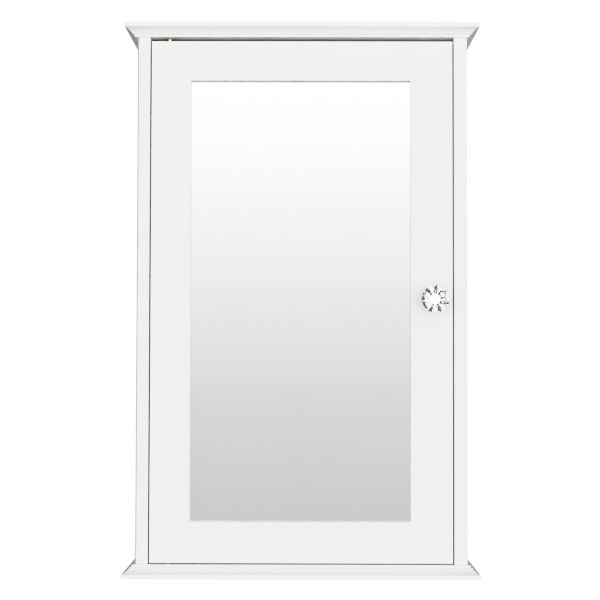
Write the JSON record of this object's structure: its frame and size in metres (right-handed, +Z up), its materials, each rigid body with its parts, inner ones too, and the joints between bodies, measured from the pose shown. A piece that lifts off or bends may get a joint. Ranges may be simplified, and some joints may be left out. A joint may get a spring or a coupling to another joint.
{
  "type": "bathroom mirror cabinet",
  "caption": "White wall-hung bathroom cabinet with moulded top and bottom boards, a pivot-hung inset mirror door, a crystal knob, a loose shelf and a magnetic catch.",
  "frame": {"origin": "midway between the two wall-screw holes, on the wall plane at the back of the cabinet", "axes": "+X to the right seen from the front, +Y into the wall (the door faces -Y), +Z up"},
  "size_m": [0.34, 0.1635, 0.53],
  "materials": {
    "white_lacquer": "satin white lacquer on fibreboard",
    "backing_board": "hardboard, raw on one face and white-faced on the other",
    "beech": "plain beech, fluted",
    "zinc_casting": "dull die-cast zinc",
    "plated_steel": "bright zinc plate",
    "bright_steel": "ground and polished",
    "brass": "brown-gold brass",
    "white_plastic": "moulded, slight gloss",
    "ferrite": "dull sintered ferrite",
    "mirror": "silvered float glass",
    "crystal": "faceted clear crystal",
    "chrome": "polished chrome plate"
  },
  "bodies": {
    "cabinet": {"top_board": "white_lacquer", "bottom_board": "white_lacquer", "left_side_panel": "white_lacquer", "right_side_panel": "white_lacquer", "back_panel": "backing_board", "back_panel_screws": "plated_steel", "hanging_rail": "white_lacquer", "rail_dowels": "beech", "cam_locks": "zinc_casting", "cam_bolts": "plated_steel", "cam_caps": "white_plastic", "carcass_dowels": "beech", "top_pivot_bush": "brass", "bottom_pivot_bush": "brass", "shelf_pins": "plated_steel", "catch_housing": "white_plastic", "catch_pole_plates": "plated_steel", "catch_magnet": "ferrite", "catch_screws": "plated_steel"},
    "shelf": {"shelf_board": "white_lacquer"},
    "door": {"door_hinge_stile": "white_lacquer", "door_knob_stile": "white_lacquer", "door_top_rail": "white_lacquer", "door_bottom_rail": "white_lacquer", "door_frame_dowels": "beech", "mirror_glass": "mirror", "mirror_backing": "backing_board", "mirror_clips": "plated_steel", "mirror_clip_screws": "plated_steel", "top_pivot_pin": "bright_steel", "bottom_pivot_pin": "bright_steel", "bottom_pivot_washer": "bright_steel", "knob_crystal": "crystal", "knob_base": "chrome", "knob_screw": "plated_steel", "strike_plate": "plated_steel", "strike_screw": "plated_steel"}
  },
  "joints": [
    {"name": "door_hinge", "type": "hinge", "parent": "cabinet", "child": "door", "pos_m": [-0.1276, -0.1326, -0.2223], "axis": [0, 0, -1], "range_deg": [0, 135]},
    {"name": "shelf_lift", "type": "slide", "parent": "cabinet", "child": "shelf", "axis": [0, 0, 1], "range_m": [0, 0.03]}
  ]
}
